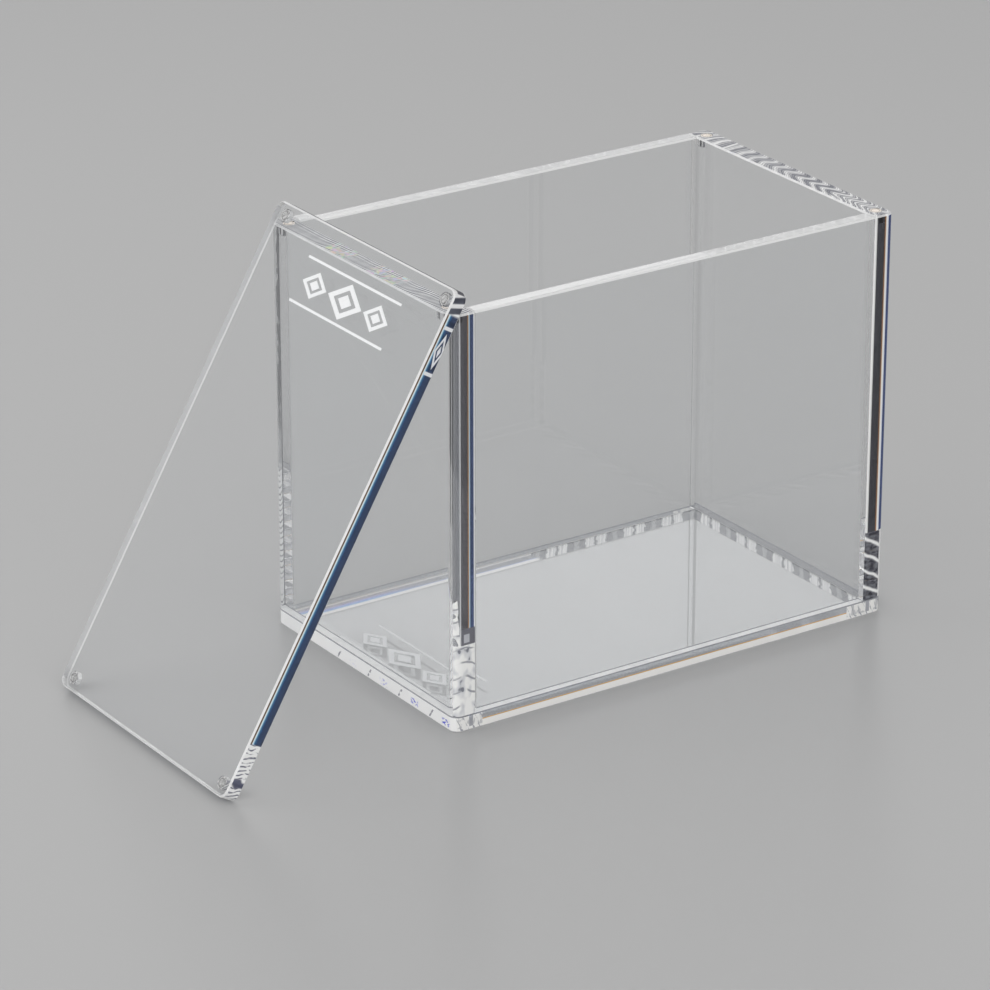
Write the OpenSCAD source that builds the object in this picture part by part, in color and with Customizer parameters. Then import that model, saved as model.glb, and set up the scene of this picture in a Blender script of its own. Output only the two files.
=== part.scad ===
// Clear acrylic display case for a boxed set of trading cards.
// Five cemented plates make an open-topped box, and a loose lid plate closes it with four pairs of magnets.
// The lid is off, and leans on the rim at the left end with its foot on the table.
// Millimetres. The origin is the middle of the case's underside, +X to the right, +Y to the back, +Z up.

/* [Case] */
// Length of the case, over its end walls
case_length = 160; // [120:1:220]
// Depth of the case, over its front and back walls
case_depth = 96; // [60:1:150]
// Height of the walls above the base plate
wall_height = 126.5; // [60:0.5:180]
// Thickness of the two end walls, which hold the magnets
end_wall_thickness = 7.5; // [6:0.1:12]
// Thickness of the front and back walls
long_wall_thickness = 5; // [3:0.1:8]
// Thickness of the base plate
base_thickness = 5; // [3:0.1:10]

/* [Edges] */
// Radius of the upright corners of the case and of the lid's corners
corner_radius = 3; // [1.5:0.1:5]
// Width of the polished bevel on an open edge
edge_bevel = 0.5; // [0.2:0.05:0.8]
// Width of the fine bevel on an edge that is cemented to another plate
seam_bevel = 0.25; // [0.1:0.05:0.4]

/* [Lid] */
// Thickness of the lid plate
lid_thickness = 5; // [4.5:0.1:10]
// Angle between the leaning lid and the table
lid_lean = 59.7; // [50:0.1:75]
// How far the leaning lid stands in front of the case's middle
lid_forward = 3; // [-10:0.5:10]
// Gap between the leaning lid and the edge that it leans on
lean_gap = 0.2; // [0.1:0.05:0.5]

/* [Magnets] */
// Diameter of each magnet
magnet_diameter = 4; // [2:0.1:5]
// Thickness of each magnet
magnet_thickness = 3; // [1:0.1:3.8]
// Bevel round both ends of a magnet
magnet_bevel = 0.2; // [0.1:0.05:0.4]
// Gap between a magnet and the wall of its pocket
magnet_clearance = 0.05; // [0.02:0.01:0.1]
// How far a magnet sits below the face that it is let into
magnet_recess = 0.1; // [0.05:0.05:0.4]
// Distance from the front or back face to the middle of the nearest magnet
magnet_inset = 5; // [4:0.1:12]

/* [Hidden] */
$fn = 64;

left = -1;
right = 1;
front = -1;
back = 1;

acrylic = [0.87, 0.91, 0.93, 0.4];
nickel = [0.78, 0.76, 0.73];

case_height = base_thickness + wall_height;
long_wall_length = case_length - 2 * end_wall_thickness;
long_wall_y = (case_depth - long_wall_thickness) / 2;

// A magnet stands in the middle of its end wall's thickness, and the lid's magnets meet the case's.
magnet_x = (case_length - end_wall_thickness) / 2;
magnet_y = case_depth / 2 - magnet_inset;
pocket_depth = magnet_thickness + magnet_recess;

// The leaning lid touches the table along the bevel of its foot.
foot_z = -edge_bevel * cos(lid_lean);
// A long lid rests on the outer corner of the left wall's rim, and a short one on that wall's outer face.
rim_x = -case_length / 2;
rim_z = case_height - edge_bevel;
lid_top_z = foot_z + case_length * sin(lid_lean);
foot_x_on_rim = rim_x - (lean_gap + (rim_z - foot_z) * cos(lid_lean)) / sin(lid_lean);
foot_x_on_wall = rim_x - lean_gap - case_length * cos(lid_lean);
foot_x = lid_top_z > rim_z ? foot_x_on_rim : foot_x_on_wall;

// Upright section of a plate, with its lower and upper edges bevelled.
function section(width, height, low, high) = [
    [-width / 2 + low, 0],
    [width / 2 - low, 0],
    [width / 2, low],
    [width / 2, height - high],
    [width / 2 - high, height],
    [-width / 2 + high, height],
    [-width / 2, height - high],
    [-width / 2, low]
];

// Half of the section of a round post or disc, for turning.
function half_section(radius, height, low, high) = [
    [0, 0],
    [radius - low, 0],
    [radius, low],
    [radius, height - high],
    [radius - high, height],
    [0, height]
];

// Plate with square upright edges, bevelled all round.
module square_block(length, depth, height, low, high, upright) {
    intersection() {
        rotate([90, 0, 90])
            linear_extrude(length, center = true)
                polygon(section(depth, height, low, high));
        rotate([90, 0, 0])
            linear_extrude(depth, center = true)
                polygon(section(length, height, low, high));
        translate([0, -depth / 2, 0])
            linear_extrude(height)
                polygon(section(length, depth, upright, upright));
    }
}

// Plate with four round upright corners, whose bevel runs on round them.
module round_block(length, depth, height, low, high) {
    rotate([90, 0, 90])
        linear_extrude(length - 2 * corner_radius, center = true)
            polygon(section(depth, height, low, high));
    rotate([90, 0, 0])
        linear_extrude(depth - 2 * corner_radius, center = true)
            polygon(section(length, height, low, high));
    for (x = [left, right], y = [front, back])
        translate([x * (length / 2 - corner_radius), y * (depth / 2 - corner_radius), 0])
            rotate_extrude()
                polygon(half_section(corner_radius, height, low, high));
}

// Blind round hole that opens through the plane z = 0, upwards.
module pocket() {
    translate([0, 0, -pocket_depth])
        cylinder(d = magnet_diameter + 2 * magnet_clearance, h = pocket_depth + magnet_recess);
}

// Magnet seated on the floor of a pocket that opens at z = 0.
module magnet() {
    translate([0, 0, -pocket_depth])
        rotate_extrude()
            polygon(half_section(magnet_diameter / 2, magnet_thickness, magnet_bevel, magnet_bevel));
}

// End wall of the left end. Its outer corners are round, and its inner edges are square.
module left_wall_plate() {
    round_length = 2 * (end_wall_thickness + corner_radius);
    intersection() {
        translate([(round_length - case_length) / 2, 0, base_thickness])
            round_block(round_length, case_depth, wall_height, seam_bevel, edge_bevel);
        translate([-case_length / 2, 0, base_thickness])
            square_block(2 * end_wall_thickness, case_depth, wall_height, seam_bevel, edge_bevel, seam_bevel);
    }
}

module end_wall(side) {
    color(acrylic)
        difference() {
            if (side == left) left_wall_plate();
            else mirror([1, 0, 0]) left_wall_plate();
            for (y = [front, back])
                translate([side * magnet_x, y * magnet_y, case_height])
                    pocket();
        }
}

module long_wall(side) {
    color(acrylic)
        translate([0, side * long_wall_y, base_thickness])
            square_block(long_wall_length, long_wall_thickness, wall_height, seam_bevel, edge_bevel, seam_bevel);
}

module base_plate() {
    color(acrylic)
        round_block(case_length, case_depth, base_thickness, edge_bevel, seam_bevel);
}

// Carries a lid piece from its closed place, above z = 0, to where the lid leans.
module leaning() {
    translate([foot_x, -lid_forward, foot_z])
        rotate([0, -lid_lean, 0])
            translate([case_length / 2, 0, 0])
                children();
}

module lid_plate() {
    color(acrylic)
        leaning()
            difference() {
                round_block(case_length, case_depth, lid_thickness, edge_bevel, edge_bevel);
                for (x = [left, right], y = [front, back])
                    translate([x * magnet_x, y * magnet_y, 0])
                        mirror([0, 0, 1])
                            pocket();
            }
}

module case_magnet(x, y) {
    color(nickel)
        translate([x * magnet_x, y * magnet_y, case_height])
            magnet();
}

module lid_magnet(x, y) {
    color(nickel)
        leaning()
            translate([x * magnet_x, y * magnet_y, 0])
                mirror([0, 0, 1])
                    magnet();
}

base_plate();
end_wall(left);  // left_end_wall
end_wall(right);  // right_end_wall
long_wall(front);  // front_wall
long_wall(back);  // back_wall
case_magnet(left, front);  // case_magnet_left_front
case_magnet(left, back);  // case_magnet_left_back
case_magnet(right, front);  // case_magnet_right_front
case_magnet(right, back);  // case_magnet_right_back
lid_plate();
lid_magnet(left, front);  // lid_magnet_left_front
lid_magnet(left, back);  // lid_magnet_left_back
lid_magnet(right, front);  // lid_magnet_right_front
lid_magnet(right, back);  // lid_magnet_right_back
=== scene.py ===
"""Clear acrylic display case with its loose lid leaning on one end, in a pale studio."""

import math

import bpy
from mathutils import Matrix, Vector


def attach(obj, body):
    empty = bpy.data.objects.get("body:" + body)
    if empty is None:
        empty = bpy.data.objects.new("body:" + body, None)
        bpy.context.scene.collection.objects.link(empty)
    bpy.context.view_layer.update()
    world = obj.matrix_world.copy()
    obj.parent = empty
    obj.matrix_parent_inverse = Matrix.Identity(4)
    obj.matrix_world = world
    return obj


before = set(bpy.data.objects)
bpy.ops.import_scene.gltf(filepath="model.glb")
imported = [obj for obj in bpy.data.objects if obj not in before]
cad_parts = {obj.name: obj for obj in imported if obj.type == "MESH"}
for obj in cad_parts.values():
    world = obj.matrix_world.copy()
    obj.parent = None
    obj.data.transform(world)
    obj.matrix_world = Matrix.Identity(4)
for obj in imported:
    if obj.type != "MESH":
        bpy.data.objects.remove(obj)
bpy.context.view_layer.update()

MM = 0.001

# The case and lid, as the source has them
HALF_LENGTH = 80 * MM
HALF_DEPTH = 48 * MM
BASE_TOP = 5 * MM
CASE_TOP = 131.5 * MM
END_WALL = 7.5 * MM
LONG_WALL = 5 * MM
SEAM_BEVEL = 0.25 * MM
EDGE_BEVEL = 0.5 * MM
LID_THICKNESS = 5 * MM
MAGNET_X = 76.25 * MM
MAGNET_Y = 43 * MM
MAGNET_RADIUS = 2 * MM
LID_LEAN = math.radians(59.7)
LEAN_GAP = 0.2 * MM
LID_FORWARD = 3 * MM

# Ornaments: the middle of each, and the sizes of its lozenges and lines
LID_ORNAMENT = (142 * MM, -2.5 * MM)
BASE_ORNAMENT = (-64.5 * MM, -4 * MM)
LOZENGES = ((0.0, 9 * MM, 5.6 * MM), (-16.5 * MM, 6.5 * MM, 4.2 * MM), (16.5 * MM, 6.5 * MM, 4.2 * MM))
RING_INSIDE = 0.66
CORE_SIZE = 0.4
LINE_PLACES = (-7 * MM, 7 * MM)
LINE_HALF_WIDTH = 0.4 * MM
LINE_HALF_LENGTH = 25 * MM
ORNAMENT_LOW = -0.01 * MM
ORNAMENT_HIGH = 0.05 * MM

# Foot of the lid's underside, where the lid's own axes start. They run up the lid, to the back and out
foot_z = -EDGE_BEVEL * math.cos(LID_LEAN)
rim_z = CASE_TOP - EDGE_BEVEL
foot_x = -HALF_LENGTH - (LEAN_GAP + (rim_z - foot_z) * math.cos(LID_LEAN)) / math.sin(LID_LEAN)
LID_FOOT = Vector((foot_x, -LID_FORWARD, foot_z))
LID_FRAME = Matrix.Translation(LID_FOOT) @ Matrix.Rotation(-LID_LEAN, 4, "Y")

# The camera of the photograph
CAMERA_PLACE = (-0.78685, -1.11788, 0.61439)
CAMERA_AZIMUTH = math.radians(-33.986)
CAMERA_PITCH = math.radians(22.752)
FOCAL_PIXELS = 4816.3
FRAME_PIXELS = 990
SENSOR = 36.0

# Looks
ACRYLIC_IOR = 1.49
# The same nickel on all magnets: painted darker and warmer on the case, as painted shade, and near white on
# the lid, as painted light; the second of each pair is its dull tarnish
CASE_NICKEL_IN_SHADE = (0.74, 0.66, 0.58)
CASE_TARNISH_IN_SHADE = (0.58, 0.52, 0.43)
LID_NICKEL_IN_LIGHT = (0.97, 0.97, 0.96)
LID_TARNISH_IN_LIGHT = (0.84, 0.83, 0.82)
# The fine plating scatters a part of the light as a pale surface does
SATIN_METAL = 0.5
# Number of light stripes round a magnet, which are painted reflections
SIDE_STRIPES = 7
MILK = (0.94, 0.94, 0.935, 1.0)
# Share of the lamps' light that passes a polished face, and a sawn edge
FACE_PASSES = (0.955, 0.957, 0.96)
EDGE_PASSES = (0.40, 0.41, 0.43)
FLOOR_TONE = (0.46, 0.46, 0.46)
LOW_SKY = (0.50, 0.50, 0.505)
HIGH_SKY = (0.75, 0.75, 0.75)
LOW_SKY_TOP = math.sin(math.radians(15))
HIGH_SKY_FOOT = math.sin(math.radians(21))
SKY_LIGHT = 0.38
FLOOR_HALF = 6.0
# How milky the cement is under the back and right walls, next to 1 under the front and left walls
FAINT_CEMENT = 0.22
# Thin film of air under the case, which lets its underside mirror
FLOOR_GAP = 0.05 * MM

# Saw marks in the thick walls' rims
CHEVRON_WIDTH = 5.5 * MM
SAW_SPACING = 6.2 * MM
# How high the painted light from the walls' feet reaches in the uprights, and the painted grey block of
# shade above it
FOOT_TOP = 28.0 * MM
FOOT_WISPS = 17 * MM
BLOCK_TOP = 33.2 * MM
BACK_FOOT_TOP = 50 * MM
ROUND_CORNER = 3.2 * MM
# Spacing of the painted marks of light and shade in the feet of the left, the right and the left wall's
# back upright
ARC_SPACING = 4.6 * MM
STRIPE_SPACING = 5.4 * MM
STROKE_SPACING = 1.9 * MM
# Where the base's long sides turn white with painted light at their ends, and how far apart the painted
# ticks on its left end are
LEFT_CORNER = -70.0 * MM
RIGHT_CORNER = 65.8 * MM
TICK_SPACING = 17 * MM
# Limits of the blocks and of the bright strip of painted light on the base's underside
RIGHT_BLOCKS_LEFT = 70.0 * MM
RIGHT_BLOCKS_RIGHT = 75.0 * MM
STRIP_FRONT = 40.2 * MM
STRIP_BACK = 46.3 * MM
STRIP_END = 15 * MM
# Where the lid's front side is painted with light, white with dark strokes, at its foot, and with curled
# lines of light and shade, at its upper corner
LID_FOOT_TOP = 18 * MM
LID_TIP = 153 * MM
LID_STROKE_SPACING = 1.35 * MM
CURL_SPACING = 3.2 * MM


class Graph:
    """Shader nodes of one material or world, made by short calls."""

    def __init__(self, owner):
        owner.use_nodes = True
        self.owner = owner
        self.tree = owner.node_tree
        self.tree.nodes.clear()

    def node(self, kind, **settings):
        made = self.tree.nodes.new("ShaderNode" + kind)
        for key, value in settings.items():
            setattr(made, key, value)
        return made

    def feed(self, socket, value):
        """Links or sets an input."""
        if isinstance(value, bpy.types.NodeSocket):
            self.tree.links.new(value, socket)
        elif value is not None:
            socket.default_value = value

    def math(self, operation, *values):
        made = self.node("Math", operation=operation)
        for socket, value in zip(made.inputs, values):
            self.feed(socket, value)
        return made.outputs[0]

    def combine(self, x, y, z):
        made = self.node("CombineXYZ")
        for socket, value in zip(made.inputs, (x, y, z)):
            self.feed(socket, value)
        return made.outputs[0]

    def separate(self, vector):
        made = self.node("SeparateXYZ")
        self.feed(made.inputs[0], vector)
        return made.outputs

    def ramp(self, value, stops, interpolation="LINEAR"):
        made = self.node("ValToRGB")
        made.color_ramp.interpolation = interpolation
        elements = made.color_ramp.elements
        while len(elements) < len(stops):
            elements.new(0.5)
        for element, (position, colour) in zip(elements, stops):
            element.position = position
            element.color = (*colour, 1)
        self.feed(made.inputs[0], value)
        return made.outputs[0]

    def mix(self, factor, first, second, blend="MIX"):
        made = self.node("Mix", data_type="RGBA", blend_type=blend)
        self.feed(made.inputs[0], factor)
        self.feed(made.inputs[6], first)
        self.feed(made.inputs[7], second)
        return made.outputs[2]

    def noise(self, vector, scale, detail=2.0, roughness=0.5):
        made = self.node("TexNoise")
        self.feed(made.inputs["Vector"], vector)
        made.inputs["Scale"].default_value = scale
        made.inputs["Detail"].default_value = detail
        made.inputs["Roughness"].default_value = roughness
        return made.outputs["Fac"]

    def smooth(self, value, low, high):
        """0 below low and 1 above high, with a soft step between. Swapped limits turn it over."""
        made = self.node("MapRange", interpolation_type="SMOOTHSTEP")
        turned = low > high
        self.feed(made.inputs["Value"], value)
        made.inputs["From Min"].default_value = min(low, high)
        made.inputs["From Max"].default_value = max(low, high)
        made.inputs["To Min"].default_value = 1.0 if turned else 0.0
        made.inputs["To Max"].default_value = 0.0 if turned else 1.0
        return made.outputs[0]

    def both(self, *values):
        """Product of two or more numbers or masks."""
        result = values[0]
        for value in values[1:]:
            result = self.math("MULTIPLY", result, value)
        return result

    def total(self, *values):
        result = values[0]
        for value in values[1:]:
            result = self.math("ADD", result, value)
        return result

    def pick(self, mask, chosen, other):
        """Number that is chosen where mask is 1, and other where it is 0."""
        made = self.node("Mix", data_type="FLOAT")
        self.feed(made.inputs[0], mask)
        self.feed(made.inputs[2], other)
        self.feed(made.inputs[3], chosen)
        return made.outputs[0]

    def wave(self, phase):
        return self.math("SINE", self.math("MULTIPLY", phase, 2 * math.pi))

    def lines(self, phase, width):
        """1 where phase is a whole number, and 0 from width away from it."""
        return self.smooth(self.math("PINGPONG", phase, 0.5), width, 0.4 * width)

    def within(self, value, low, high, soft):
        """1 between low and high, with soft steps there."""
        rising = self.smooth(value, low - soft, low + soft)
        falling = self.smooth(value, high + soft, high - soft)
        return self.both(rising, falling)

    def mix_shader(self, factor, first, second):
        made = self.node("MixShader")
        self.feed(made.inputs[0], factor)
        self.feed(made.inputs[1], first)
        self.feed(made.inputs[2], second)
        return made.outputs[0]

    def finish(self, shader, output="OutputMaterial"):
        self.feed(self.node(output).inputs[0], shader)
        return self.owner


class Plate:
    """Place on a plate in its own axes, and how squarely its surface faces along each of them."""

    def __init__(self, g, kind):
        found = g.node("TexCoord")
        point = found.outputs["Object"]
        normal = found.outputs["Normal"]
        if kind == "lid":
            back = LID_FRAME.inverted()
            turn = g.node("Mapping", vector_type="POINT")
            turn.inputs["Location"].default_value = back.to_translation()
            turn.inputs["Rotation"].default_value = back.to_euler()
            g.feed(turn.inputs["Vector"], point)
            turned_normal = g.node("Mapping", vector_type="NORMAL")
            turned_normal.inputs["Rotation"].default_value = back.to_euler()
            g.feed(turned_normal.inputs["Vector"], normal)
            point = turn.outputs[0]
            normal = turned_normal.outputs[0]
        self.x, self.y, self.z = g.separate(point)
        self.facing_x, self.facing_y, self.facing_z = [g.math("ABSOLUTE", n) for n in g.separate(normal)]
        through = {"end_wall": self.facing_x, "long_wall": self.facing_y}
        flat = through.get(kind, self.facing_z)
        self.on_edge = g.smooth(flat, 0.6, 0.45)
        high = g.math("GREATER_THAN", self.z, CASE_TOP / 2)
        self.on_top = g.both(self.on_edge, high, g.smooth(self.facing_z, 0.9, 0.97))
        self.bevel = g.both(g.smooth(self.facing_z, 0.5, 0.6), g.smooth(self.facing_z, 0.92, 0.82))


def shaded_seam(g, plate):
    """1 along the walls' feet, where the bevel line is painted dark with shade, but for the far ones inside
    the bay, whose fine bevels are painted white as if they catch the light.
    """
    at_foot = g.within(plate.z, BASE_TOP - 2 * SEAM_BEVEL, BASE_TOP + 2 * SEAM_BEVEL, 0.01 * MM)
    at_front = g.math("LESS_THAN", plate.y, -HALF_DEPTH + LONG_WALL + 2 * SEAM_BEVEL)
    at_left = g.math("LESS_THAN", plate.x, -HALF_LENGTH + END_WALL + 2 * SEAM_BEVEL)
    at_back = g.math("GREATER_THAN", plate.y, HALF_DEPTH - 4 * SEAM_BEVEL)
    at_right = g.math("GREATER_THAN", plate.x, HALF_LENGTH - 4 * SEAM_BEVEL)
    near = g.math("MAXIMUM", g.math("MAXIMUM", at_front, at_left), g.math("MAXIMUM", at_back, at_right))
    return g.both(at_foot, near)


def cemented(g, plate, kind):
    """1 where a plate's face is cemented to another plate, so that hardly anything is seen of it."""
    near = 0.01 * MM
    x = g.math("ABSOLUTE", plate.x)
    y = g.math("ABSOLUTE", plate.y)
    flat = g.math("GREATER_THAN", plate.facing_z, 0.9)
    on_base = g.both(g.math("COMPARE", plate.z, BASE_TOP, near), flat)
    behind = g.math("GREATER_THAN", y, HALF_DEPTH - LONG_WALL + SEAM_BEVEL)
    if kind == "base":
        under_end = g.math("GREATER_THAN", x, HALF_LENGTH - END_WALL + SEAM_BEVEL)
        beside = g.math("LESS_THAN", x, HALF_LENGTH - END_WALL - SEAM_BEVEL)
        return g.both(on_base, g.math("MAXIMUM", under_end, g.both(beside, behind)))
    upright = g.math("GREATER_THAN", plate.facing_x, 0.9)
    on_seam = g.both(g.math("COMPARE", x, HALF_LENGTH - END_WALL, near), upright)
    return g.math("MAXIMUM", on_base, g.both(on_seam, behind))


# A look is the colour and the haze of a surface. The haze is how much of the surface is milky.
CLEAR = ((0.99, 0.993, 0.995, 1.0), 0.0)


def look(colour, haze):
    return (*colour, 1.0), haze


def blend(g, mask, over, under):
    """The look over where mask is 1, and the look under where it is 0."""
    haze = g.pick(mask, over[1], under[1])
    return g.mix(mask, under[0], over[0]), haze


def banded(g, value, bands):
    """A look that changes through a plate's thickness, by bands of position, colour and haze."""
    colour = g.ramp(value, [(position, tone) for position, tone, _ in bands])
    haze = g.ramp(value, [(position, grey(amount)) for position, _, amount in bands])
    return colour, haze


def grey(value):
    return (value, value, value)


# Painted light and shade across the front edge of each end wall, from left to right: white and coloured
# lines for light sent along the wall, dark bands for the dark surroundings it mirrors
LEFT_UPRIGHT_LIGHT_AND_SHADE = [
    (0.00, (0.75, 0.76, 0.78), 0.60),
    (0.07, (0.50, 0.51, 0.53), 0.15),
    (0.26, (0.42, 0.43, 0.46), 0.10),
    (0.31, (0.85, 0.86, 0.88), 0.75),
    (0.35, (0.20, 0.20, 0.22), 0.20),
    (0.63, (0.15, 0.14, 0.15), 0.20),
    (0.69, (0.55, 0.30, 0.13), 0.60),
    (0.73, (0.62, 0.84, 0.98), 0.85),
    (0.78, (0.08, 0.11, 0.22), 0.20),
    (0.91, (0.10, 0.14, 0.28), 0.20),
    (0.95, (0.98, 0.98, 0.98), 0.95),
    (1.00, (0.98, 0.98, 0.98), 0.95),
]
RIGHT_UPRIGHT_LIGHT_AND_SHADE = [
    (0.00, (0.98, 0.98, 0.98), 0.95),
    (0.08, (0.95, 0.95, 0.93), 0.90),
    (0.12, (0.10, 0.10, 0.12), 0.10),
    (0.46, (0.08, 0.08, 0.09), 0.10),
    (0.52, (0.42, 0.20, 0.08), 0.50),
    (0.57, (0.98, 0.96, 0.92), 0.95),
    (0.64, (0.90, 0.94, 0.98), 0.90),
    (0.69, (0.06, 0.10, 0.30), 0.25),
    (0.88, (0.05, 0.09, 0.26), 0.25),
    (0.95, (0.45, 0.46, 0.50), 0.30),
    (1.00, (0.80, 0.81, 0.83), 0.50),
]
# Bands of the bright strip of painted light under the back wall's foot, from front to back
BLUE_LIGHT_STRIP = [
    (0.00, (0.97, 0.96, 0.94), 0.90),
    (0.25, (0.96, 0.96, 0.95), 0.90),
    (0.33, (0.30, 0.54, 0.88), 0.85),
    (0.50, (0.38, 0.44, 0.86), 0.80),
    (0.62, (0.50, 0.46, 0.60), 0.75),
    (0.80, (0.48, 0.46, 0.50), 0.70),
    (0.87, (0.88, 0.84, 0.82), 0.85),
    (1.00, (0.86, 0.83, 0.81), 0.85),
]
PLAIN_LIGHT_STRIP = [
    (0.00, (0.97, 0.97, 0.96), 0.90),
    (0.28, (0.96, 0.96, 0.96), 0.90),
    (0.34, (0.50, 0.58, 0.86), 0.80),
    (0.42, (0.42, 0.43, 0.48), 0.70),
    (0.78, (0.46, 0.46, 0.50), 0.70),
    (0.85, (0.88, 0.87, 0.87), 0.85),
    (1.00, (0.86, 0.85, 0.85), 0.85),
]
# Painted light and shade across the front edge of the lid, from its underside to its outer face: dark bands
# for the dark surroundings it mirrors, and white, blue and brown lines for light sent along it
LID_SIDE_LIGHT_AND_SHADE = [
    (0.00, (0.20, 0.21, 0.26), 0.20),
    (0.12, (0.06, 0.08, 0.15), 0.20),
    (0.50, (0.05, 0.09, 0.20), 0.20),
    (0.64, (0.05, 0.20, 0.42), 0.40),
    (0.70, (0.50, 0.78, 0.96), 0.85),
    (0.77, (0.96, 0.96, 0.95), 0.92),
    (0.81, (0.15, 0.09, 0.05), 0.60),
    (0.91, (0.16, 0.10, 0.06), 0.60),
    (0.94, (1.00, 1.00, 1.00), 0.97),
    (1.00, (1.00, 1.00, 1.00), 0.97),
]


def rim_look(g, plate, left):
    """Saw marks across a thick wall's rim, nearly straight on the left wall and chevrons on the right one:
    dark and white stripes that are partly the marks' own frost and partly painted light and shade, with
    painted glints on the right rim and painted specks of split light on the left one.
    """
    zigzag = g.wave(g.both(plate.x, 1 / CHEVRON_WIDTH))
    bend = g.both(g.smooth(plate.y, 40 * MM, -25 * MM), 0.34)
    bend = g.pick(left, 0.04, bend)
    drift = g.noise(g.combine(plate.y, plate.x, 0.0), 55.0, 1.0)
    phase = g.both(plate.y, 1 / SAW_SPACING)
    phase = g.total(phase, g.both(zigzag, bend), g.both(drift, g.pick(left, 0.5, 1.1)))
    coarse = g.wave(phase)
    fine = g.wave(g.both(phase, 5.7))
    patches = g.smooth(g.noise(g.combine(plate.y, 3.0, 0.0), 42.0, 0.0), 0.42, 0.56)
    bold = g.pick(left, 0.10, g.total(g.both(patches, 0.6), 0.5))
    faint = g.both(fine, g.pick(left, 0.36, 0.18))
    level = g.total(g.pick(left, 0.52, 0.44), g.both(coarse, bold, 0.30), faint)
    stops = [(0.12, (0.16, 0.17, 0.21)), (0.52, (0.56, 0.56, 0.58)), (0.85, (1.0, 1.0, 1.0))]
    colour = g.ramp(level, stops)
    haze = g.total(g.both(g.smooth(level, 0.0, 1.0), 0.34), 0.58)
    painted_glints = g.lines(g.total(g.both(phase, 2.0), g.both(drift, 3.0)), 0.20)
    painted_glints = g.both(painted_glints, g.pick(left, 0.0, 1.0), g.smooth(patches, 0.9, 0.2), 0.9)
    colour, haze = blend(g, painted_glints, look((1.0, 1.0, 1.0), 0.95), (colour, haze))
    split_light = g.both(split_light_places(g, plate), left, 0.85)
    return blend(g, split_light, (split_light_colour(g, plate), 0.85), (colour, haze))


# Painted colours of the light that the rim splits
def split_light_colour(g, plate):
    cells = g.node("TexVoronoi")
    cells.inputs["Scale"].default_value = 620.0
    g.feed(cells.inputs["Vector"], g.combine(plate.x, plate.y, 0.0))
    return g.mix(0.42, (1.0, 0.99, 0.97, 1.0), cells.outputs["Color"])


def split_light_places(g, plate):
    """1 in painted specks of split light on two lengths of a rim, where it splits the light into colours.
    """
    spots = g.smooth(g.noise(g.combine(plate.x, plate.y, 0.0), 330.0, 1.0), 0.40, 0.52)
    behind = g.within(plate.y, 8 * MM, 19 * MM, MM)
    before = g.within(plate.y, -19 * MM, -4 * MM, MM)
    return g.both(spots, g.math("MAXIMUM", behind, before))


def upright_look(g, plate, left, across):
    """Front edge of an end wall, painted with light and shade: bands of light and dark, below them the
    painted light that the wall's foot sends up, and on the left wall a painted grey block of shade.
    """
    bands = blend(g, left, banded(g, across, LEFT_UPRIGHT_LIGHT_AND_SHADE), banded(g, across, RIGHT_UPRIGHT_LIGHT_AND_SHADE))
    drift = g.noise(g.combine(across, g.both(plate.z, 120.0), 0.0), 1.6, 1.0)
    foot = blend(g, left, left_foot_look(g, plate, across, drift), right_foot_look(g, plate, across, drift))
    wisps = g.both(g.smooth(across, 0.32, 0.16), left, g.smooth(drift, 0.36, 0.62), FOOT_WISPS)
    low = g.math("LESS_THAN", plate.z, g.total(wisps, FOOT_TOP))

    block = g.both(left, g.smooth(across, 0.34, 0.38), g.within(plate.z, FOOT_TOP, BLOCK_TOP, 0.15 * MM))
    window = g.within(plate.z, FOOT_TOP + 0.7 * MM, BLOCK_TOP - 1.8 * MM, 0.1 * MM)
    inner = g.both(g.within(across, 0.46, 0.72, 0.01), window)
    shade = blend(g, inner, look((0.55, 0.56, 0.60), 0.60), look((0.20, 0.20, 0.23), 0.50))
    return blend(g, block, shade, blend(g, low, foot, bands))


def left_foot_look(g, plate, across, drift):
    """Foot of the left upright, in painted light: white, with soft painted shade and dark arcs and specks.
    """
    arch = g.wave(g.both(across, 0.5))
    phase = g.total(g.both(plate.z, 1 / ARC_SPACING), g.both(arch, -0.30), g.both(drift, 0.7))
    arcs = g.both(g.lines(phase, 0.09), g.smooth(drift, 0.40, 0.55), 0.75)
    mottle = g.noise(g.combine(plate.x, g.both(plate.z, 0.6), 0.0), 420.0, 1.0)
    shaded = g.ramp(mottle, [(0.47, (0.99, 0.99, 0.98)), (0.66, (0.70, 0.71, 0.74))])
    marks = g.math("MAXIMUM", arcs, g.smooth(mottle, 0.67, 0.73))
    return blend(g, marks, look((0.26, 0.27, 0.31), 0.75), (shaded, 0.93))


def right_foot_look(g, plate, across, drift):
    """Foot of the right upright: dark and streaky with painted shade, with white stripes and a white outer
    part of painted light.
    """
    phase = g.total(g.both(plate.z, 1 / STRIPE_SPACING), g.both(across, 0.80), g.both(drift, 0.30))
    stripes = g.smooth(g.math("PINGPONG", phase, 0.5), 0.17, 0.03)
    streaks = g.noise(g.combine(g.both(across, 4.0), g.both(plate.z, 900.0), 0.0), 1.0, 2.0)
    shade = g.ramp(streaks, [(0.40, (0.07, 0.07, 0.09)), (0.66, (0.30, 0.31, 0.34))])
    dark = blend(g, stripes, look((0.98, 0.98, 0.98), 0.95), (shade, 0.35))
    return blend(g, g.smooth(across, 0.72, 0.77), look((0.99, 0.99, 0.99), 0.95), dark)


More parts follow.
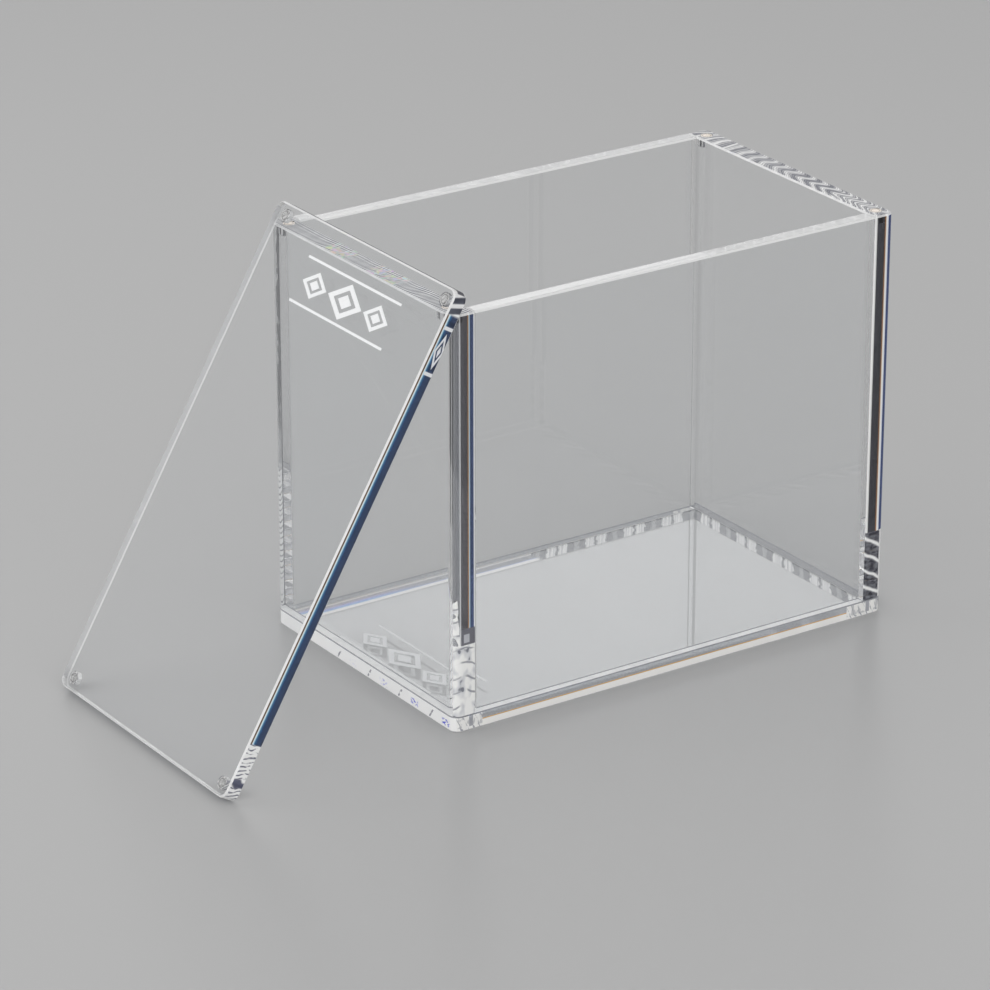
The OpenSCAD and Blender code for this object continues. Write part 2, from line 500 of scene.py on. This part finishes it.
def back_edge_look(g, plate, across):
    """Back edge of the left wall, painted with light and shade: white with strokes at its foot, and grey
    with a dark line above.
    """
    wander = g.noise(g.combine(across, g.both(plate.z, 90.0), 0.0), 1.5, 1.0)
    strokes = g.total(g.both(plate.z, 1 / STROKE_SPACING), g.both(across, -1.6), g.both(wander, 1.4))
    middle = g.smooth(across, 0.90, 0.95)
    lines = g.math("MAXIMUM", g.both(g.lines(strokes, 0.13), g.smooth(wander, 0.30, 0.50)), middle)
    lower = blend(g, lines, look((0.25, 0.26, 0.29), 0.75), look((1.00, 1.00, 1.00), 0.97))
    upper = blend(g, middle, look((0.20, 0.20, 0.22), 0.60), look((0.70, 0.71, 0.73), 0.30))
    return blend(g, g.smooth(plate.z, BACK_FOOT_TOP + MM, BACK_FOOT_TOP), lower, upper)


def end_wall_look(g, plate):
    left = g.math("LESS_THAN", plate.x, 0.0)
    across = g.math("MODULO", g.total(plate.x, HALF_LENGTH), 2 * HALF_LENGTH - END_WALL)
    across = g.both(across, 1 / END_WALL)
    result = blend(g, plate.on_top, rim_look(g, plate, left), CLEAR)
    facing = g.smooth(plate.facing_y, 0.45, 0.6)
    front = g.both(facing, g.math("LESS_THAN", plate.y, -HALF_DEPTH + ROUND_CORNER))
    result = blend(g, front, upright_look(g, plate, left, across), result)
    back = g.both(facing, left, g.math("GREATER_THAN", plate.y, HALF_DEPTH - ROUND_CORNER))
    return blend(g, back, back_edge_look(g, plate, across), result)


def long_wall_look(g, plate):
    # Pale, milky top: partly the sawn rim's own frost, partly painted reflection of the bright light
    # overhead
    top = look((0.97, 0.97, 0.97), 0.42)
    return blend(g, plate.on_top, top, CLEAR)


def base_look(g, plate):
    edge = blend(g, g.smooth(plate.facing_x, 0.5, 0.7), base_end_look(g, plate), base_side_look(g, plate))
    under = g.both(g.math("LESS_THAN", plate.z, 0.01 * MM), g.math("GREATER_THAN", plate.facing_z, 0.9))
    result = blend(g, under, underside_look(g, plate), CLEAR)
    return blend(g, plate.on_edge, edge, result)


def base_end_look(g, plate):
    """Ends of the base plate, painted with light and shade: the left one white with light sent through the
    base, with ticks and blue specks, the right one grey with shade.
    """
    phase = g.both(plate.y, 1 / TICK_SPACING)
    broken = g.smooth(g.noise(g.combine(plate.y, plate.z, 0.0), 700.0, 1.0), 0.34, 0.50)
    slanting = g.total(phase, g.both(plate.z, 0.04 / MM))
    ticks = g.both(g.lines(slanting, 0.032), g.within(plate.z, 0.9 * MM, 3.6 * MM, 0.1 * MM), broken)
    flecks = g.noise(g.combine(plate.y, g.both(plate.z, 1.6), 0.0), 900.0, 2.0)
    near = g.smooth(plate.y, 20 * MM, -45 * MM)
    specks = g.both(g.lines(g.total(phase, 0.55), 0.15), g.within(plate.z, 1.2 * MM, 3.2 * MM, 0.3 * MM))
    specks = g.both(specks, g.smooth(flecks, 0.50, 0.56), near)
    end = blend(g, ticks, look((0.38, 0.38, 0.42), 0.80), look((0.99, 0.99, 0.99), 0.95))
    end = blend(g, specks, look((0.04, 0.06, 0.70), 0.90), end)
    return blend(g, g.math("LESS_THAN", plate.x, 0.0), end, look((0.42, 0.43, 0.46), 0.45))


def base_side_look(g, plate):
    """Long sides of the base plate, painted with light and shade: grey above a fine orange line, and white
    below it.
    """
    lengthwise_streaks = g.noise(g.combine(plate.x, g.both(plate.z, 2.0), 0.0), 1500.0, 2.0)
    upper = (g.ramp(lengthwise_streaks, [(0.35, (0.42, 0.44, 0.47)), (0.65, (0.56, 0.57, 0.60))]), 0.75)
    lower = look((0.99, 0.98, 0.96), 0.95)
    side = blend(g, g.smooth(plate.z, 2.65 * MM, 2.45 * MM), lower, upper)
    line = g.within(plate.z, 2.55 * MM, 2.85 * MM, 0.08 * MM)
    side = blend(g, line, look((0.80, 0.47, 0.16), 0.85), side)
    at_left = g.smooth(plate.x, LEFT_CORNER, LEFT_CORNER - 0.2 * MM)
    at_right = g.smooth(plate.x, RIGHT_CORNER, RIGHT_CORNER + 0.2 * MM)
    return blend(g, g.math("MAXIMUM", at_left, at_right), base_corner_look(g, plate), side)


def base_corner_look(g, plate):
    """Ends of the base plate's long sides, in painted light: white, with grey strokes and a dark slab of
    painted shade beside the seam.
    """
    mottle = g.noise(g.combine(plate.x, g.both(plate.z, 0.5), 0.0), 520.0, 2.0)
    slant = g.total(g.both(plate.x, 1 / (2.1 * MM)), g.both(plate.z, 1 / (4.5 * MM)), g.both(mottle, 1.2))
    strokes = g.both(g.lines(slant, 0.12), g.smooth(mottle, 0.40, 0.52))
    patches = g.both(g.smooth(mottle, 0.52, 0.60), g.smooth(plate.z, 1.0 * MM, 1.6 * MM), 0.6)
    slab = g.within(g.math("ABSOLUTE", plate.x), 73.4 * MM, 74.8 * MM, 0.1 * MM)
    slab = g.both(slab, g.smooth(plate.z, 1.2 * MM, 1.5 * MM))
    marks = g.math("MAXIMUM", g.math("MAXIMUM", strokes, patches), slab)
    return blend(g, marks, look((0.47, 0.48, 0.52), 0.75), look((0.97, 0.965, 0.95), 0.93))


def underside_look(g, plate):
    """The bright strip and the pale blocks of painted light that line the bay's floor at its back and
    right, with painted shade in the gaps between the blocks.
    """
    mottle = g.noise(g.combine(g.total(g.both(plate.x, 0.8), g.both(plate.y, -0.6)), 0.0, 0.0), 1600.0, 1.0)
    streaks = g.ramp(mottle, [(0.38, (0.62, 0.62, 0.64)), (0.58, (0.97, 0.97, 0.96))])
    gap = look((0.42, 0.43, 0.46), 0.34)
    pale = (streaks, 0.85)
    uneven = g.both(g.noise(g.combine(plate.x, plate.y, 0.0), 260.0, 2.0), 0.16)

    along = slanted(g, plate, 0.793, -0.609, 11.8 * MM)
    right = blend(g, blocks(g, g.total(along, uneven, -0.18)), pale, gap)
    along = slanted(g, plate, 0.818, -0.575, 12.4 * MM)
    back = blend(g, blocks(g, g.total(along, uneven, 1.72)), pale, gap)

    depth = g.both(g.total(plate.y, -STRIP_FRONT), 1 / (STRIP_BACK - STRIP_FRONT))
    blue = banded(g, depth, BLUE_LIGHT_STRIP)
    plain = banded(g, depth, PLAIN_LIGHT_STRIP)
    strip = blend(g, g.smooth(plate.x, -20 * MM, -50 * MM), blue, plain)
    ragged = g.total(plate.x, g.both(mottle, 8 * MM))
    back = blend(g, g.smooth(ragged, STRIP_END, STRIP_END - 2 * MM), strip, back)

    at_right = g.within(plate.x, RIGHT_BLOCKS_LEFT, RIGHT_BLOCKS_RIGHT, 0.1 * MM)
    at_back = g.within(plate.y, STRIP_FRONT, STRIP_BACK, 0.1 * MM)
    result = blend(g, at_right, right, CLEAR)
    return blend(g, g.both(at_back, g.math("LESS_THAN", plate.x, 72.0 * MM)), back, result)


def slanted(g, plate, x_share, y_share, pitch):
    """Phase that grows by one for each pitch along a direction in the plate's plane."""
    return g.total(g.both(plate.x, x_share / pitch), g.both(plate.y, y_share / pitch))


def blocks(g, phase):
    """Two pale blocks of painted light at each whole number of phase, and a faint bit half-way between the
    pairs.
    """
    away = g.math("PINGPONG", phase, 0.5)
    pair = g.within(away, 0.03, 0.27, 0.02)
    return g.math("MAXIMUM", pair, g.both(g.smooth(away, 0.43, 0.45), 0.35))


def lid_look(g, plate):
    """Edges of the lid, painted with light and shade: its front side banded, its back side pale, its ends
    and front corners white, and a dark band of shade across its top end.
    """
    through = g.both(plate.z, 1 / LID_THICKNESS)
    front = g.math("LESS_THAN", plate.y, 0.0)
    sides = blend(g, front, lid_front_look(g, plate, through), look((0.86, 0.86, 0.87), 0.72))
    foot_end = look((0.99, 0.99, 0.99), 0.90)
    top_end = blend(g, g.within(through, 0.15, 0.70, 0.05), look((0.16, 0.16, 0.18), 0.75), foot_end)
    ends = blend(g, g.math("GREATER_THAN", plate.x, HALF_LENGTH), top_end, foot_end)
    edge = blend(g, g.smooth(plate.facing_x, 0.70, 0.80), ends, sides)
    corner = g.both(g.smooth(plate.facing_x, 0.20, 0.35), g.smooth(plate.facing_y, 0.20, 0.35))
    corner = g.both(corner, g.pick(front, 0.0, 1.0))
    edge = blend(g, corner, look((0.99, 0.99, 0.99), 0.90), edge)
    return blend(g, plate.on_edge, edge, CLEAR)


def lid_front_look(g, plate, through):
    """Front side of the lid, painted with light and shade: bands, with the ornament's painted reflection, a
    curled tip and a white foot on them.
    """
    bands = banded(g, through, LID_SIDE_LIGHT_AND_SHADE)
    bands = blend(g, painted_ornament_reflection(g, plate, through), look((0.92, 0.93, 0.96), 0.85), bands)
    curl = g.lines(g.both(g.total(plate.x, g.both(through, 1.5 * MM)), 1 / CURL_SPACING), 0.30)
    tip = blend(g, curl, look((0.97, 0.97, 0.98), 0.90), look((0.14, 0.15, 0.19), 0.45))
    bands = blend(g, g.smooth(plate.x, LID_TIP - 0.5 * MM, LID_TIP + 0.5 * MM), tip, bands)
    low = g.smooth(plate.x, LID_FOOT_TOP + 0.2 * MM, LID_FOOT_TOP - 0.2 * MM)
    return blend(g, low, lid_foot_look(g, plate, through), bands)


def painted_ornament_reflection(g, plate, through):
    """1 where the side is painted with a reflection of the lid's ornament: a framed lozenge between two
    bars.
    """
    away = g.math("ABSOLUTE", g.total(plate.x, -LID_ORNAMENT[0]))
    bar = g.within(away, 6.5 * MM, 7.6 * MM, 0.15 * MM)
    inset = g.math("ABSOLUTE", g.total(through, -0.36))
    reach = g.total(g.both(away, 1 / (5.6 * MM)), g.both(inset, 1 / 0.34))
    echo = g.math("MAXIMUM", g.within(reach, 0.62, 1.0, 0.05), g.smooth(reach, 0.40, 0.30))
    return g.both(g.math("MAXIMUM", bar, echo), g.smooth(through, 0.72, 0.68))


def lid_foot_look(g, plate, through):
    """Foot of the lid's front side, in painted light: white, with slanting dark strokes and one dark blot
    of painted shade.
    """
    drift = g.noise(g.combine(plate.x, plate.z, 0.0), 260.0, 1.0)
    phase = g.total(g.both(plate.x, 1 / LID_STROKE_SPACING), g.both(through, 1.1), g.both(drift, 2.2))
    mottle = g.noise(g.combine(g.both(plate.x, 3.0), plate.z, 0.0), 420.0, 2.0)
    marks = g.both(g.smooth(g.math("PINGPONG", phase, 0.5), 0.26, 0.04), g.smooth(mottle, 0.36, 0.54))
    blot = g.within(g.total(plate.x, g.both(drift, 4 * MM)), 6.6 * MM, 8.8 * MM, 0.4 * MM)
    marks = g.math("MAXIMUM", marks, blot)
    return blend(g, marks, look((0.15, 0.16, 0.23), 0.60), look((0.98, 0.98, 0.98), 0.93))


def clear_acrylic(kind):
    """Polished cast acrylic. Its edges are painted with the light and shade that the plate's inside sends
    them.
    """
    looks = {"end_wall": end_wall_look, "long_wall": long_wall_look, "base": base_look, "lid": lid_look}
    g = Graph(bpy.data.materials.new("clear_acrylic_" + kind))
    plate = Plate(g, kind)
    colour, haze = looks[kind](g, plate)
    # Bevels painted with a white highlight line, which is painted dark, as shade, along the walls' feet but
    # for the far ones inside the bay
    line = look((0.97, 0.97, 0.97), 0.85)
    if kind != "lid":
        line = blend(g, shaded_seam(g, plate), look((0.30, 0.31, 0.34), 0.80), line)
    colour, haze = blend(g, g.both(plate.bevel, 0.85), line, (colour, haze))

    bump = g.node("Bump")
    bump.inputs["Strength"].default_value = 1.0
    bump.inputs["Distance"].default_value = 0.015 * MM
    ripple = g.noise(g.combine(plate.x, plate.y, plate.z), 180.0, 2.0)
    g.feed(bump.inputs["Height"], g.both(ripple, plate.on_edge))

    # The shader tints by the square root of its colour at each surface
    glass = g.node("BsdfPrincipled")
    g.feed(glass.inputs["Base Color"], g.mix(1.0, colour, colour, "MULTIPLY"))
    glass.inputs["Roughness"].default_value = 0.0
    glass.inputs["IOR"].default_value = ACRYLIC_IOR
    glass.inputs["Transmission Weight"].default_value = 1.0
    g.feed(glass.inputs["Normal"], bump.outputs[0])
    milk = g.node("BsdfDiffuse")
    g.feed(milk.inputs["Color"], g.mix(1.0, colour, MILK, "MULTIPLY"))
    shader = g.mix_shader(haze, glass.outputs[0], milk.outputs[0])

    open_edge = plate.on_edge
    if kind != "lid":
        seam = cemented(g, plate, kind)
        open_edge = g.both(open_edge, g.math("SUBTRACT", 1.0, seam))
        shader = g.mix_shader(seam, shader, cement(g, plate))
    passes = g.mix(open_edge, (*FACE_PASSES, 1.0), (*EDGE_PASSES, 1.0))
    return g.finish(let_light_through(g, shader, passes))


def cement(g, plate):
    """Solvent cement: milky under the walls, faint at the back and right, and clear in upright seams."""
    streaks = g.noise(g.combine(plate.x, plate.y, 0.0), 130.0, 2.0)
    cloudy = g.total(g.both(g.smooth(streaks, 0.35, 0.60), 0.18), 0.80)
    level = g.smooth(plate.facing_z, 0.8, 0.9)
    at_left = g.math("LESS_THAN", plate.x, -HALF_LENGTH + END_WALL)
    at_front = g.math("LESS_THAN", plate.y, -HALF_DEPTH + LONG_WALL)
    cloudy = g.both(cloudy, g.pick(g.math("MAXIMUM", at_left, at_front), 1.0, FAINT_CEMENT))
    milk = g.node("BsdfDiffuse")
    milk.inputs["Color"].default_value = MILK
    return g.mix_shader(g.both(level, cloudy), g.node("BsdfTransparent").outputs[0], milk.outputs[0])


def let_light_through(g, shader, passes):
    """Lamp light and light sent on by pale things pass through the glass instead of stopping at it."""
    path = g.node("LightPath")
    clear = g.node("BsdfTransparent")
    g.feed(clear.inputs["Color"], passes)
    for ray in ("Is Shadow Ray", "Is Diffuse Ray"):
        shader = g.mix_shader(path.outputs[ray], shader, clear.outputs[0])
    return shader


def painted_side_reflections(g, x, y):
    """Painted reflection on a magnet's sides: light and dark stripes by turns, for its surroundings
    mirrored in it.
    """
    turn = g.both(g.math("ARCTAN2", y, x), SIDE_STRIPES / (2 * math.pi))
    stripes = g.smooth(g.math("PINGPONG", turn, 0.5), 0.18, 0.26)
    return g.mix(stripes, (0.14, 0.14, 0.15, 1.0), (0.95, 0.94, 0.93, 1.0))


def nickel_plate(kind, bright, dull):
    """Satin nickel on a magnet: turned ends with faint tarnish and painted shade in a groove and round the
    rim, and sides striped with painted reflections.
    """
    g = Graph(bpy.data.materials.new("nickel_plate_" + kind))
    plate = Plate(g, kind)
    x = g.total(plate.x, -HALF_LENGTH) if kind == "lid" else plate.x
    x = g.total(g.math("ABSOLUTE", x), -MAGNET_X)
    y = g.total(g.math("ABSOLUTE", plate.y), -MAGNET_Y)
    radius = g.math("SQRT", g.total(g.both(x, x), g.both(y, y)))
    radius = g.both(radius, 1 / MAGNET_RADIUS)
    groove = g.within(radius, 0.60, 0.72, 0.05)
    rim = g.smooth(radius, 0.90, 0.97)
    flat = g.smooth(plate.facing_z, 0.90, 0.97)
    point = g.combine(plate.x, plate.y, plate.z)
    tone = g.mix(g.smooth(g.noise(point, 300.0, 2.0), 0.30, 0.70), (*dull, 1.0), (*bright, 1.0))
    # Painted shade in the groove and round the rim of each flat end
    shade = g.both(flat, g.math("MAXIMUM", groove, g.both(rim, 0.8)), 0.8)
    tone = g.mix(shade, tone, (0.10, 0.09, 0.09, 1.0))
    tone = g.mix(flat, painted_side_reflections(g, x, y), tone)
    rough = g.node("MapRange")
    g.feed(rough.inputs["Value"], g.noise(point, 900.0, 2.0))
    g.feed(rough.inputs["To Min"], g.pick(flat, 0.20, 0.48))
    g.feed(rough.inputs["To Max"], g.pick(flat, 0.34, 0.62))
    bump = g.node("Bump")
    bump.inputs["Strength"].default_value = 0.5
    bump.inputs["Distance"].default_value = 0.03 * MM
    g.feed(bump.inputs["Height"], g.both(groove, flat, -1.0))
    metal = g.node("BsdfPrincipled")
    g.feed(metal.inputs["Base Color"], tone)
    g.feed(metal.inputs["Roughness"], rough.outputs[0])
    g.feed(metal.inputs["Normal"], bump.outputs[0])
    metal.inputs["Metallic"].default_value = SATIN_METAL
    return g.finish(metal.outputs[0])


def frosted_engraving():
    """White frosting left by a laser, with a fine even grain."""
    g = Graph(bpy.data.materials.new("frosted_engraving"))
    point = g.node("TexCoord").outputs["Object"]
    mottle = g.noise(point, 5200.0, 3.0, 0.6)
    tone = g.ramp(mottle, [(0.3, (0.80, 0.81, 0.82)), (0.7, (0.95, 0.955, 0.96))])
    bump = g.node("Bump")
    bump.inputs["Strength"].default_value = 0.5
    bump.inputs["Distance"].default_value = 0.03 * MM
    g.feed(bump.inputs["Height"], mottle)
    frost = g.node("BsdfPrincipled")
    g.feed(frost.inputs["Base Color"], tone)
    g.feed(frost.inputs["Normal"], bump.outputs[0])
    frost.inputs["Roughness"].default_value = 0.6
    return g.finish(frost.outputs[0])


def studio_floor():
    g = Graph(bpy.data.materials.new("studio_floor"))
    point = g.node("TexCoord").outputs["Object"]
    tone = g.ramp(
        g.noise(point, 1.5, 2.0),
        [(0.0, tuple(0.97 * c for c in FLOOR_TONE)), (1.0, tuple(1.03 * c for c in FLOOR_TONE))],
    )
    floor = g.node("BsdfPrincipled")
    g.feed(floor.inputs["Base Color"], tone)
    floor.inputs["Roughness"].default_value = 0.32
    floor.inputs["Specular IOR Level"].default_value = 0.2
    return g.finish(floor.outputs[0])


def extrude(outline, low, high):
    """Points and faces of a prism over a closed outline."""
    count = len(outline)
    points = [(x, y, z) for z in (low, high) for x, y in outline]
    faces = [tuple(reversed(range(count))), tuple(range(count, 2 * count))]
    for i in range(count):
        j = (i + 1) % count
        faces.append((i, j, count + j, count + i))
    return points, faces


def framed(outer, inner, low, high):
    """Points and faces of a flat ring between two outlines with as many points."""
    count = len(outer)
    points = []
    for z in (low, high):
        points += [(x, y, z) for x, y in outer]
        points += [(x, y, z) for x, y in inner]
    faces = []
    for i in range(count):
        j = (i + 1) % count
        lo, li, ho, hi = i, count + i, 2 * count + i, 3 * count + i
        lo2, li2, ho2, hi2 = j, count + j, 2 * count + j, 3 * count + j
        faces += [(lo, li, li2, lo2), (ho, ho2, hi2, hi), (lo, lo2, ho2, ho), (li, hi, hi2, li2)]
    return points, faces


def lozenge(y, half_width, half_height):
    return [(0.0, y - half_width), (half_height, y), (0.0, y + half_width), (-half_height, y)]


def rectangle(x, y, half_x, half_y):
    left, right = x - half_x, x + half_x
    front, back = y - half_y, y + half_y
    return [(left, front), (right, front), (right, back), (left, back)]


def ornament(name, place, body, material):
    """Row of lozenges between two fine lines, frosted into the face at place."""
    shapes = []
    for y, half_width, half_height in LOZENGES:
        outer = lozenge(y, half_width, half_height)
        inner = lozenge(y, RING_INSIDE * half_width, RING_INSIDE * half_height)
        shapes.append(framed(outer, inner, ORNAMENT_LOW, ORNAMENT_HIGH))
        core = lozenge(y, CORE_SIZE * half_width, CORE_SIZE * half_height)
        shapes.append(extrude(core, ORNAMENT_LOW, ORNAMENT_HIGH))
    for x in LINE_PLACES:
        line = rectangle(x, 0.0, LINE_HALF_WIDTH, LINE_HALF_LENGTH)
        shapes.append(extrude(line, ORNAMENT_LOW, ORNAMENT_HIGH))
    points, faces = [], []
    for shape_points, shape_faces in shapes:
        start = len(points)
        points += shape_points
        faces += [tuple(start + i for i in face) for face in shape_faces]
    mesh = bpy.data.meshes.new(name)
    mesh.from_pydata([place @ Vector(p) for p in points], [], faces)
    mesh.validate()
    mesh.update()
    piece = bpy.data.objects.new(name, mesh)
    bpy.context.scene.collection.objects.link(piece)
    piece.data.materials.append(material)
    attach(piece, body)
    return piece


def soft_lamp(name, place, size, power, mirrored, aim=(0.0, 0.0, 0.05)):
    """Box lamp aimed at the case. One that isn't mirrored lights things, but shows in no glass or metal."""
    data = bpy.data.lights.new(name, "AREA")
    data.shape = "RECTANGLE"
    data.size, data.size_y = size
    data.energy = power
    lamp = bpy.data.objects.new(name, data)
    bpy.context.scene.collection.objects.link(lamp)
    lamp.location = place
    lamp.rotation_euler = (Vector(aim) - Vector(place)).to_track_quat("-Z", "Y").to_euler()
    lamp.visible_camera = False
    lamp.visible_glossy = mirrored
    lamp.visible_transmission = mirrored
    return lamp


def add_camera():
    data = bpy.data.cameras.new("camera")
    data.sensor_width = SENSOR
    data.lens = FOCAL_PIXELS / FRAME_PIXELS * SENSOR
    data.clip_start = 0.01
    data.clip_end = 100.0
    camera = bpy.data.objects.new("camera", data)
    bpy.context.scene.collection.objects.link(camera)
    camera.location = CAMERA_PLACE
    camera.rotation_euler = (math.pi / 2 - CAMERA_PITCH, 0.0, CAMERA_AZIMUTH)
    bpy.context.scene.camera = camera


def add_sky():
    """Pale backdrop for eyes, metal and glass, and a plain level of light for everything else."""
    g = Graph(bpy.data.worlds.new("studio"))
    path = g.node("LightPath").outputs
    shown = g.math("MAXIMUM", path["Is Camera Ray"], path["Is Glossy Ray"])
    shown = g.math("MAXIMUM", shown, path["Is Transmission Ray"])
    light = g.node("Background")
    light.inputs["Color"].default_value = (1, 1, 1, 1)
    light.inputs["Strength"].default_value = SKY_LIGHT
    height = g.separate(g.node("TexCoord").outputs["Generated"])[2]
    tone = g.mix(g.smooth(height, LOW_SKY_TOP, HIGH_SKY_FOOT), (*LOW_SKY, 1), (*HIGH_SKY, 1))
    backdrop = g.node("Background")
    g.feed(backdrop.inputs["Color"], tone)
    sky = g.mix_shader(shown, light.outputs[0], backdrop.outputs[0])
    bpy.context.scene.world = g.finish(sky, "OutputWorld")


def add_floor():
    mesh = bpy.data.meshes.new("floor")
    corners = [(x, y, -FLOOR_GAP) for x, y in rectangle(0.0, 0.0, FLOOR_HALF, FLOOR_HALF)]
    mesh.from_pydata(corners, [], [(0, 1, 2, 3)])
    floor = bpy.data.objects.new("floor", mesh)
    bpy.context.scene.collection.objects.link(floor)
    floor.data.materials.append(studio_floor())


def dress(names, material):
    for name in names:
        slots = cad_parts[name].material_slots
        for slot in slots:
            slot.material = material


add_camera()
add_sky()
add_floor()

dress(["left_end_wall", "right_end_wall"], clear_acrylic("end_wall"))
dress(["front_wall", "back_wall"], clear_acrylic("long_wall"))
dress(["base_plate"], clear_acrylic("base"))
dress(["lid_plate"], clear_acrylic("lid"))
magnets = [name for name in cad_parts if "magnet" in name]
# The case's magnets take the nickel in painted shade, and the lid's take the nickel in painted light
case_nickel = nickel_plate("case", CASE_NICKEL_IN_SHADE, CASE_TARNISH_IN_SHADE)
lid_nickel = nickel_plate("lid", LID_NICKEL_IN_LIGHT, LID_TARNISH_IN_LIGHT)
dress([name for name in magnets if name.startswith("case")], case_nickel)
dress([name for name in magnets if name.startswith("lid")], lid_nickel)

frosted = frosted_engraving()
lid_place = LID_FRAME @ Matrix.Translation((*LID_ORNAMENT, LID_THICKNESS))
ornament("lid_ornament", lid_place, "lid", frosted)
base_place = Matrix.Translation((*BASE_ORNAMENT, BASE_TOP))
ornament("base_ornament", base_place, "case", frosted)

soft_lamp("back_box", (1.124, 1.666, 0.895), (1.5, 0.9), 3.2, True)
soft_lamp("top_box", (-0.2, 0.1, 1.7), (1.5, 1.5), 3.5, True)
soft_lamp("left_box", (-1.6, 0.5, 1.0), (1.8, 1.5), 15.0, False)
soft_lamp("front_box", (-0.8, -2.0, 1.2), (3.6, 2.0), 34.0, False)

scene = bpy.context.scene
scene.view_settings.view_transform = "Standard"
scene.cycles.max_bounces = 40
scene.cycles.transmission_bounces = 40
scene.cycles.glossy_bounces = 24
scene.cycles.transparent_max_bounces = 48
scene.cycles.diffuse_bounces = 3
